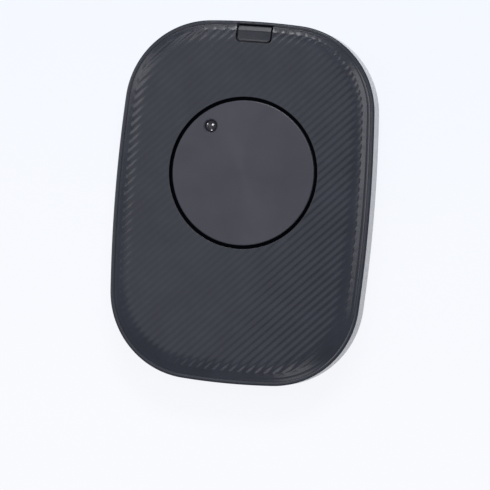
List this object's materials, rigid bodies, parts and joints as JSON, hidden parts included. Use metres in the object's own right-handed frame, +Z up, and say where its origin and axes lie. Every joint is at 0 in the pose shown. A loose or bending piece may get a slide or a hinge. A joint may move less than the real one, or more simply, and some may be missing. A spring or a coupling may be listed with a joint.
{
  "type": "mouse jiggler",
  "caption": "Slim plate with a motor-driven turntable set flush in its top, on which a computer mouse rests, a power button at one end and a charging socket below it.",
  "frame": {"origin": "centre of the bounding box's bottom, on the surface that the feet stand on", "axes": "+Y towards the end with the power button and the charging socket, +Z up, out of the turntable"},
  "size_m": [0.09, 0.1246, 0.0118],
  "materials": {
    "shell_silver": "moulded shell with satin metallic silver paint",
    "cover_black": "textured satin black moulding",
    "disc_black": "satin black with a fine turned grain",
    "button_black": "satin black moulding",
    "lens_black": "polished black dome",
    "foot_rubber": "matt rubber pad",
    "steel": "turned or pressed steel, nickel plated",
    "black_steel": "blackened steel screws",
    "gear_resin": "natural acetal",
    "gear_brass": "hobbed brass",
    "sintered_bronze": "oil-filled sintered bronze",
    "slip_ring_white": "low-friction sheet",
    "ferrite": "sintered ferrite magnet",
    "bobbin_resin": "glass-filled nylon",
    "winding": "enamelled copper wire",
    "board_green": "glass-epoxy board with green solder mask",
    "chip_resin": "moulded epoxy package",
    "capacitor_tan": "fired ceramic",
    "connector_resin": "natural nylon",
    "socket_resin": "black liquid-crystal polymer",
    "gold": "gold-plated contacts",
    "lead_sheath": "soft insulated lead"
  },
  "bodies": {
    "case": {"base_shell": "shell_silver", "top_cover": "cover_black", "rubber_feet": "foot_rubber", "case_screws": "black_steel", "spindle": "steel", "glide_ring": "slip_ring_white", "thrust_washers": "slip_ring_white", "idler_pin": "steel", "motor_can": "steel", "motor_end_plate": "steel", "motor_bobbin": "bobbin_resin", "motor_coils": "winding", "motor_bushes": "sintered_bronze", "motor_screws": "steel", "motor_leads": "lead_sheath", "main_board": "board_green", "board_screws": "steel", "usb_shell": "steel", "usb_insulator": "socket_resin", "usb_contacts": "gold", "switch_base": "chip_resin", "switch_dome": "steel", "switch_frame": "steel", "controller_chip": "chip_resin", "driver_chip": "chip_resin", "capacitors": "capacitor_tan", "lead_header": "connector_resin", "lead_plug": "connector_resin"},
    "turntable": {"turntable_disc": "disc_black", "marker_lens": "lens_black", "drive_gear": "gear_resin", "hub_screws": "steel", "hub_bush": "sintered_bronze"},
    "idler": {"idler_gear": "gear_resin"},
    "rotor": {"motor_shaft": "steel", "motor_magnet": "ferrite", "motor_pinion": "gear_brass"},
    "button": {"power_button": "button_black", "switch_plunger": "connector_resin"}
  },
  "joints": [
    {"name": "turntable_spin", "type": "hinge", "parent": "case", "child": "turntable", "pos_m": [0, 0.0102, 0.0116], "axis": [0, 0, 1], "continuous": true},
    {"name": "idler_spin", "type": "hinge", "parent": "case", "child": "idler", "pos_m": [-0.012, -0.01058, 0.0081], "axis": [0, 0, 1], "continuous": true},
    {"name": "rotor_spin", "type": "hinge", "parent": "case", "child": "rotor", "pos_m": [-0.0045, -0.02357, 0.0081], "axis": [0, 0, 1], "continuous": true},
    {"name": "button_press", "type": "slide", "parent": "case", "child": "button", "axis": [0, 0, -1], "range_m": [0, 0.0003], "stiffness_N_per_m": 1500, "springref_m": -0.0001}
  ],
  "couplings": [
    {"joint": "idler_spin", "follows": "turntable_spin", "ratio": -7},
    {"joint": "rotor_spin", "follows": "turntable_spin", "ratio": 35}
  ]
}
